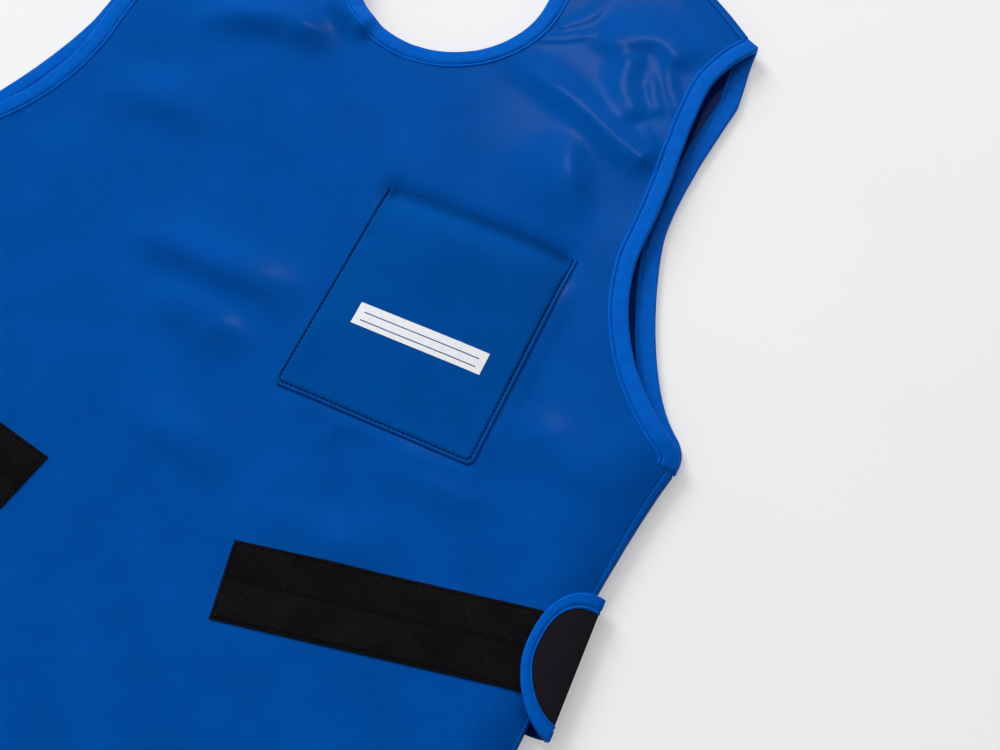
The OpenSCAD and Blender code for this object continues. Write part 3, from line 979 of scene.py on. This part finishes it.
def draped_pocket(points):
    gap = nearest(pocket_path(0, 2 * MM), points)[0]
    groove = 1.15 * MM * np.exp(-((gap - STITCH_IN) / (0.75 * MM)) ** 2)
    edge = 0.5 * MM * np.exp(-(gap / (0.6 * MM)) ** 2)
    crease = fold_height(POCKET_CREASES, points)
    body = 0.25 * MM * (1 + swell(points, 0.05, 2.2))
    return (POCKET_T + 0.5 * MM + pocket_lift(points) - groove - edge
            + (crease + body) * smoothstep(0, 12 * MM, gap))


pocket_height = Field(draped_pocket, 0.8 * MM, POCKET_LO, POCKET_HI)


def pocket_top(points):
    return front_top(points) + pocket_height(points)


def pocket_bottom(points):
    over = pocket_height(points)
    return front_top(points) + np.minimum(np.maximum(over - POCKET_T, 0.03 * MM), over - 0.2 * MM)


def make_pocket():
    sewn = pocket_path(0, 2 * MM)
    mouth = even(np.array([sewn[-1], sewn[0]]), 2 * MM)
    rim = join(sewn, mouth)[:-1]
    insets = (0.5, 1.1, 1.7, 2.2, 2.7, 3.2, 3.8, 4.6)
    rows = [pocket_path(inset * MM, 1.6 * MM)[1:-1] for inset in insets]
    made = panel("chest_pocket_sheet", rim, 2.4 * MM, pocket_top, pocket_bottom, rows)
    dress(made, POCKET, "pocket", "garment", "chest_pocket")
    line = on_surface(pocket_path(STITCH_IN, 2 * MM), pocket_top, 0.15 * MM)
    stitches = stitch_row("pocket_stitches", line, length=3 * MM, gap=0.3 * MM, radius=0.42 * MM)
    dress(stitches, NAVY, "thread")


PRINT_W, PRINT_H = 96 * MM, 17 * MM
PRINT_T, PRINT_LIFT = 0.12 * MM, 0.06 * MM
RULE_W, RULE_H = PRINT_W - 10 * MM, 0.6 * MM
RULE_PLACES = (2.2 * MM, -4.2 * MM)


def film(name, width, height, centre, lift, material):
    """A thin printed rectangle on the pocket."""
    x = centre[0] + np.linspace(-width / 2, width / 2, max(2, round(width / (2 * MM))))
    y = centre[1] + np.linspace(-height / 2, height / 2, max(2, round(height / (2 * MM)) + 1))
    plan = np.stack(np.meshgrid(x, y), -1)
    z = pocket_top(plan.reshape(-1, 2)).reshape(plan.shape[:2])[..., None]
    top = np.concatenate([plan, z + lift + PRINT_T], -1)
    bottom = np.concatenate([plan, z + lift], -1)
    return dress(slab(name, top, bottom, plan, 40), material, "print")


def make_name_strip():
    """A blank write-on strip with two ruled lines."""
    centre = at(113, -294)
    strip = film("name_strip", PRINT_W, PRINT_H, centre, PRINT_LIFT, PRINT)
    for k, y in enumerate(RULE_PLACES):
        film(f"name_rule_{k + 1}", RULE_W, RULE_H, centre + [0, y], 0.1 * MM + PRINT_T, RULE)


# ---- loop tapes

LOOP_W, LOOP_LEN, LOOP_GAP = 26.9 * MM, 204 * MM, 0.1 * MM
LOOP_SLOPE = math.radians(11.3)
LOOP_START = at(74.5, -499.7)
LOOP_T = 1.2 * MM
LOOP_STITCH_IN, MIDDLE_STITCH = 2.2 * MM, 1.4 * MM


def on_loop_tape(places, sign):
    """Plan points from places along and across the pair of tapes."""
    along = np.array([math.cos(LOOP_SLOPE), math.sin(LOOP_SLOPE)])
    across = np.array([-along[1], along[0]])
    return (LOOP_START + places[..., :1] * along + places[..., 1:] * across) * [sign, 1]


def pile_height(s, t):
    """Thickness of a tape, pressed in along its border's stitches, with ribs across it."""
    border = np.minimum(np.minimum(s, LOOP_LEN - s), np.minimum(t, LOOP_W - t))
    pressed = 0.45 * MM * np.exp(-((border - LOOP_STITCH_IN) / (0.7 * MM)) ** 2)
    rounded = 0.5 * MM * np.exp(-border / (0.5 * MM))
    ribs = 0.07 * MM * np.sin(s / (1.7 * MM) * 2 * math.pi) * (border > 3 * MM)
    return LOOP_T - pressed - rounded + ribs


def make_loop_tape(name, low, sign):
    """One tape, whose lower edge is low from the pair's middle line."""
    s, t = np.meshgrid(np.linspace(0, LOOP_LEN, 241), np.linspace(0, LOOP_W, 27), indexing="ij")
    uv = np.stack([s, low + t], -1)
    plan = on_loop_tape(uv, sign)
    ground = front_top(plan.reshape(-1, 2)).reshape(s.shape) + 0.05 * MM
    bottom = np.concatenate([plan, ground[..., None]], -1)
    top = bottom + UP * pile_height(s, t)[..., None]
    made = dress(slab(name + "_pile", top, bottom, uv, 50), LOOPS, "loop_tape", "garment", name)


def make_loop_tapes():
    near, far = LOOP_STITCH_IN, LOOP_LEN - LOOP_STITCH_IN
    edge = LOOP_W + LOOP_GAP / 2 - LOOP_STITCH_IN
    rows = (("border", ((near, -edge), (far, -edge), (far, edge), (near, edge), (near, -edge))),
            ("middle", ((near, MIDDLE_STITCH), (far, MIDDLE_STITCH))))
    for side, sign in (("left", 1), ("right", -1)):
        make_loop_tape(f"{side}_loop_tape_upper", LOOP_GAP / 2, sign)
        make_loop_tape(f"{side}_loop_tape_lower", -LOOP_GAP / 2 - LOOP_W, sign)
        for row, corners in rows:
            path = on_loop_tape(even(np.array(corners), 2 * MM), sign)
            line = on_surface(path, front_top, LOOP_T - 0.3 * MM)
            dress(stitch_row(f"{side}_loop_stitches_{row}", line), BLACK_THREAD, "thread")


# ---- waist belt

FACE_IN, FACE_OUT = -0.25 * MM, 0.6 * MM
NOSE_R, NOSE_STEPS = 0.8 * MM, 12
FOLD_TILT = -0.049
# Where the bend starts, where it folds and where the tab is flat: mm from FOLD_X, and heights.
BEND_START, BEND_FOLD, TAB_START = (-17, 0.6), (-0.7, 9.7), (-13, 13)
# The belt's two layers: name ending, material, slot and faces, from its middle outwards.
BELT_LAYERS = (
    ("", BELT, "belt", FACE_IN, FACE_OUT),
    ("_lining", SHADED_LINING, "lining", -FACE_OUT, FACE_IN),
)


def strap_line():
    """The belt's middle line at a fold, as (x from the fold, z).

    Its outward normals and its arc length from the fold come with it.
    """
    handles = np.array([BEND_START, (-9, 0.6), (-4, 5.5), (-0.9, 9.0)]) * MM
    lower = bezier(*handles)
    rising, leaving = handles[3] - handles[2], np.array([-7.4, 2.05]) * MM
    start, stop = math.atan2(*rising[::-1]), math.atan2(*leaving[::-1])
    centre = lower[-1] + NOSE_R * np.array([-math.sin(start), math.cos(start)])
    nose = arc(centre, NOSE_R, math.degrees(start) - 90, math.degrees(stop) - 90, NOSE_STEPS)
    end = nose[-1]
    upper = bezier(end, end + leaving, end + np.array([-18, 4.5]) * MM,
                   end + np.array([-38, 4.6]) * MM)
    line = join(lower, nose, upper)
    d = tangents(line)
    normals = np.stack([d[:, 1], -d[:, 0]], 1)
    along = lengths(line)
    return line, normals, along - along[len(lower) - 1 + NOSE_STEPS // 2]


STRAP, STRAP_OUT, STRAP_AT = strap_line()
STRAP_START = STRAP_AT[0]


def on_strap(s, y, offset, sign):
    """Points of the folded belt end, s from the fold towards the tab's tip."""
    x = np.interp(s, STRAP_AT, STRAP[:, 0]) + np.interp(s, STRAP_AT, STRAP_OUT[:, 0]) * offset
    z = np.interp(s, STRAP_AT, STRAP[:, 1]) + np.interp(s, STRAP_AT, STRAP_OUT[:, 1]) * offset
    fold = FOLD_X + FOLD_TILT * (y - BELT_Y)
    return np.stack([sign * (fold + x), y, z], -1)


TAB_REACH = 34 * MM
TAB_STEPS = 61
WRAP = 3.2 * MM
TAB_TAPE_UPPER, TAB_TAPE_LOWER = 11 * MM, 6 * MM
HOOK_IN, HOOK_OUT, HOOK_HALF = 5 * MM, 23 * MM, 27 * MM


def tab_outline(steps):
    """The tab's rounded end, as (s, y) from the fold's head end round to its hem end."""
    a = np.linspace(0.03, math.pi - 0.03, steps)
    blend = smoothstep(math.pi / 2 - 0.5, math.pi / 2 + 0.5, a)
    power = 2 / (2.3 * (1 - blend) + 1.7 * blend)
    c = np.cos(a)
    return np.stack([TAB_REACH * np.sin(a) ** power,
                     BELT_Y + BELT_HALF * np.sign(c) * np.abs(c) ** power], 1)


class TabRail:
    """The tab's rounded edge, for sweep()."""

    closed = False

    def __init__(self, sign):
        rounded = tab_outline(200)
        path = even(join(rounded[:1] * [0, 1] - [[WRAP, 0], [0, 0]], rounded,
                         rounded[-1:] * [0, 1] - [[0, 0], [WRAP, 0]]), 1.6 * MM)
        self.sign = sign
        self.point, self.inward = path, right_of(path)
        self.narrow = 0.56 + 0.36 * np.abs((path[:, 1] - BELT_Y) / BELT_HALF) ** 3
        self.turn = np.zeros(len(path))

    def place(self, u, side, lift):
        plan = self.point + self.inward * narrowed(u, self.narrow)
        offset = side * (BELT_T / 2 + lift)
        return on_strap(plan[:, 0], plan[:, 1], offset, self.sign)


def strap_slab(name, s, y, low, high, sign):
    """A layer of the belt end over a grid of (s, y), between two offsets from its middle."""
    top, bottom = on_strap(s, y, high, sign), on_strap(s, y, low, sign)
    return slab(name, top, bottom, np.stack([s, y], -1), 60)


def make_belt():
    reach = FOLD_X + STRAP[0, 0]
    x = np.linspace(-reach, reach, 120)
    y = BELT_Y + np.linspace(-BELT_HALF, BELT_HALF, 25)
    plan = np.stack(np.meshgrid(x, y), -1)
    plan[..., 0] += FOLD_TILT * (plan[..., 1] - BELT_Y) * plan[..., 0] / reach
    middle = np.concatenate([plan, np.full(plan.shape[:2] + (1,), BELT_T / 2)], -1)
    for ending, material, slot, low, high in BELT_LAYERS:
        name = f"waist_belt{ending}"
        made = slab(f"{name}_sheet", middle - UP * low, middle - UP * high, plan, 50)
        dress(made, material, slot, "garment", name)


def strap_layers(side, part, s, y, sign):
    """Both layers of a belt end over a grid of (s, y)."""
    made = []
    for ending, material, slot, low, high in BELT_LAYERS:
        name = f"{side}_{part}{ending}"
        layer_slab = strap_slab(name + "_sheet", s, y, low, high, sign)
        made.append(dress(layer_slab, material, slot, None, name))
    return made


def make_bend(side, sign):
    s, y = np.meshgrid(np.linspace(STRAP_START, 0, 30),
                       BELT_Y + np.linspace(-BELT_HALF, BELT_HALF, 25))
    made = strap_layers(side, "bend", s, y, sign)
    return made


def make_tab(side, sign):
    edge = tab_outline(TAB_STEPS)
    share = np.linspace(0, 1, 22)
    made = strap_layers(side, "tab", edge[:, :1] * share, edge[:, 1:] + 0 * share, sign)
    return made


def make_tab_binding(side, sign):
    section = tape_profile(TAB_TAPE_UPPER, TAB_TAPE_LOWER, 0.8 * MM, 1.0 * MM)
    rail = TabRail(sign)
    tape = sweep(f"{side}_tab_tape", rail, section, 0.2 * MM, 5.0, 0.15 * MM)
    return dress(tape, BINDING, "binding", None, f"{side}_tab_binding")


def make_hook_tape(side, sign):
    s, y = np.meshgrid(np.linspace(HOOK_IN, HOOK_OUT, 19),
                       BELT_Y + np.linspace(-HOOK_HALF, HOOK_HALF, 55))
    low, high = -BELT_T / 2 - 0.6 * MM, -BELT_T / 2 - 0.03 * MM
    made = strap_slab(f"{side}_hook_tape_patch", s, y, low, high, sign)
    return dress(made, HOOKS, "hook_tape", None, f"{side}_hook_tape")


def make_strap_end(side, sign):
    """The folded end of the belt: its bend, its tab, the tab's binding and its hook tape."""
    for made in make_bend(side, sign):
        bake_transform(made)
    tab = make_tab(side, sign)
    tab += [make_tab_binding(side, sign), make_hook_tape(side, sign)]
    for made in tab:
        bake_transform(made)


# ---- studio

def area_light(name, place, aim, size, watts, colour=(1, 1, 1)):
    data = bpy.data.lights.new(name, "AREA")
    data.shape = "RECTANGLE"
    data.size, data.size_y = size
    data.energy = watts
    data.color = colour
    light = bpy.data.objects.new(name, data)
    bpy.context.scene.collection.objects.link(light)
    light.location = place
    light.rotation_euler = (Vector(aim) - Vector(place)).to_track_quat("-Z", "Y").to_euler()
    return light


def make_studio():
    half = 30.0
    floor = bpy.data.meshes.new("floor")
    floor.from_pydata([(-half, -half, 0), (half, -half, 0), (half, half, 0), (-half, half, 0)],
                      [], [(0, 1, 2, 3)])
    floor.materials.append(paper("floor"))
    plane = bpy.data.objects.new("floor", floor)
    plane.location.z = -0.3 * MM
    bpy.context.scene.collection.objects.link(plane)
    world = bpy.data.worlds.new("studio")
    world.use_nodes = True
    world.node_tree.nodes["Background"].inputs["Color"].default_value = WHITE
    world.node_tree.nodes["Background"].inputs["Strength"].default_value = 0.28
    bpy.context.scene.world = world
    centre = (0.1, 0.1, 0)
    key = area_light("key", (-5.0, 4.2, 3.6), centre, (3.6, 3.6), 670)
    key.visible_glossy = False
    area_light("sheen", (-0.18, 1.34, 1.33), (0.14, 0.385, 0), (0.28, 0.28), 5.3, (0.97, 0.96, 1))
    fill = area_light("fill", (-1.2, -1.8, 2.0), (0, -0.3, 0), (2, 2), 12)
    fill.visible_glossy = False
    bpy.context.scene.view_settings.view_transform = "Standard"


make_panels()
make_bindings()
make_seams()
make_pocket()
make_name_strip()
make_loop_tapes()
make_belt()
make_strap_end("left", 1)
make_strap_end("right", -1)
make_studio()
